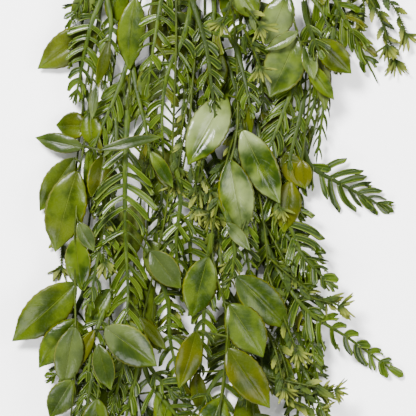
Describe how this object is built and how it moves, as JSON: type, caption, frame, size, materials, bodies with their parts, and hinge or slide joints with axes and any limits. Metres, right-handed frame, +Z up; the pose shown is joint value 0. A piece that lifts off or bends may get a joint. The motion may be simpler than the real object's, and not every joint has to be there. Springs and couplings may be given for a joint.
{
  "type": "artificial foliage bunch with fern fronds",
  "caption": "Trailing bunch of artificial foliage laid down flat: lobed fern fronds, oval leaves and feathery sprigs on long thin stems bound at the cut ends.",
  "frame": {"origin": "under the middle of the bunch's box, on the surface that it lies on", "axes": "+Y along the stems towards their bound, cut ends; +Z up from the surface; X across the bunch"},
  "size_m": [0.3612, 0.6344, 0.0633],
  "materials": {
    "fern": "satin, pale raised ribs, olive undersides",
    "leaf": "waxy sheen, pale midrib, yellow-green rims and olive blotches",
    "sprig": "matte, dark with pale yellow-green tips",
    "binding": "wound cord"
  },
  "bodies": {
    "root": {"back_fern_left": "fern", "back_fern_middle": "fern", "back_fern_right": "fern", "fern_edge_right": "fern", "fern_inner": "fern", "fern_right": "fern", "fern_low_right": "fern", "fern_top_right": "fern", "fern_left": "fern", "fern_upper_left": "fern", "fern_middle": "fern", "fern_low_left": "fern", "back_leaves_left": "leaf", "back_leaves_middle": "leaf", "leaves_behind_left": "leaf", "leaves_behind_right": "leaf", "leaves_left": "leaf", "leaves_low_left": "leaf", "leaves_upper_left": "leaf", "leaves_centre": "leaf", "leaves_right": "leaf", "sprig_top_right": "sprig", "sprig_left": "sprig", "sprig_inner": "sprig", "sprig_low_right": "sprig", "stem_binding": "binding"}
  },
  "joints": []
}
